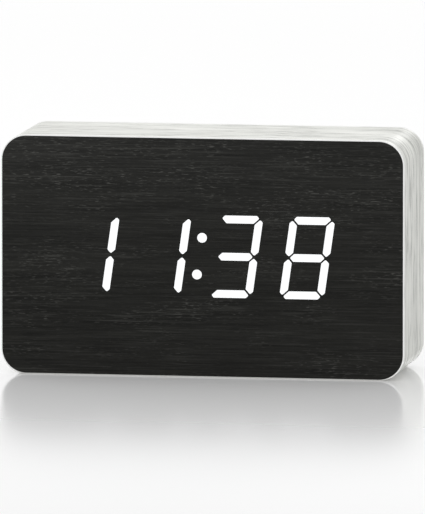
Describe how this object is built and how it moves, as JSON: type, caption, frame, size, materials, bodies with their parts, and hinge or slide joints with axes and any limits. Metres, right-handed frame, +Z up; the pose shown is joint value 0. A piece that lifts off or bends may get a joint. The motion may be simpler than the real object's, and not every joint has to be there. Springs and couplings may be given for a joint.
{
  "type": "digital alarm clock",
  "caption": "Block-shaped wooden digital alarm clock with rounded edges, a dark veneer face lit from behind by segment digits, and rear buttons, power socket and battery door.",
  "frame": {"origin": "on the surface it stands on, under the middle of the case", "axes": "+Z up, the display faces -Y, +X to the right as seen from the front"},
  "size_m": [0.15, 0.048, 0.0886],
  "materials": {
    "fibreboard": "bare medium-density fibreboard",
    "pale_film": "matt white wood-grain film",
    "dark_veneer": "matt black wood-grain veneer",
    "lit_segment": "white light seen through the veneer",
    "black_plastic": "fine spark-eroded texture",
    "housing_plastic": "moulded",
    "resin": "diffusing epoxy resin",
    "led_phosphor": "phosphor over a chip",
    "circuit_board": "green solder mask",
    "white_nylon": "moulded nylon",
    "chip_resin": "moulded epoxy",
    "zinc_screw": "zinc plated",
    "nickel": "nickel plated",
    "brass_contact": "tinned brass",
    "cable_grey": "flat cable insulation",
    "sensor_resin": "dipped resin",
    "capacitor_sleeve": "shrunk sleeve",
    "cell_wrap": "plain shrunk wrap",
    "red_wire": "wire insulation",
    "black_wire": "wire insulation"
  },
  "bodies": {
    "case": {"case_frame": "fibreboard", "side_film": "pale_film", "base_film": "pale_film", "front_board": "fibreboard", "front_veneer": "dark_veneer", "lit_windows": "lit_segment", "rear_veneer": "dark_veneer", "display_housing": "housing_plastic", "light_bars": "resin", "display_leds": "led_phosphor", "display_board": "circuit_board", "display_spacers": "white_nylon", "display_screws": "zinc_screw", "controller_chip": "chip_resin", "driver_chip": "chip_resin", "clock_crystal": "nickel", "cable_headers": "white_nylon", "ribbon_cable": "cable_grey", "control_board": "circuit_board", "board_screws": "zinc_screw", "tact_switches": "black_plastic", "power_jack": "black_plastic", "jack_contacts": "brass_contact", "buzzer": "black_plastic", "microphone": "nickel", "temperature_sensor": "sensor_resin", "capacitor": "capacitor_sleeve", "rear_cover": "black_plastic", "cover_screws": "zinc_screw", "battery_cells": "cell_wrap", "contact_plates": "nickel", "contact_springs": "nickel", "battery_lead_red": "red_wire", "battery_lead_black": "black_wire"},
    "door": {"battery_door": "black_plastic"},
    "set_key": {"set_button": "black_plastic", "set_plunger": "black_plastic"},
    "up_key": {"up_button": "black_plastic", "up_plunger": "black_plastic"},
    "down_key": {"down_button": "black_plastic", "down_plunger": "black_plastic"}
  },
  "joints": [
    {"name": "door_hinge", "type": "hinge", "parent": "case", "child": "door", "pos_m": [0, 0.0221, 0.06035], "axis": [1, 0, 0], "range_deg": [0, 90]},
    {"name": "set_press", "type": "slide", "parent": "case", "child": "set_key", "axis": [0, -1, 0], "range_m": [0, 0.0005], "stiffness_N_per_m": 800},
    {"name": "up_press", "type": "slide", "parent": "case", "child": "up_key", "axis": [0, -1, 0], "range_m": [0, 0.0005], "stiffness_N_per_m": 800},
    {"name": "down_press", "type": "slide", "parent": "case", "child": "down_key", "axis": [0, -1, 0], "range_m": [0, 0.0005], "stiffness_N_per_m": 800}
  ]
}
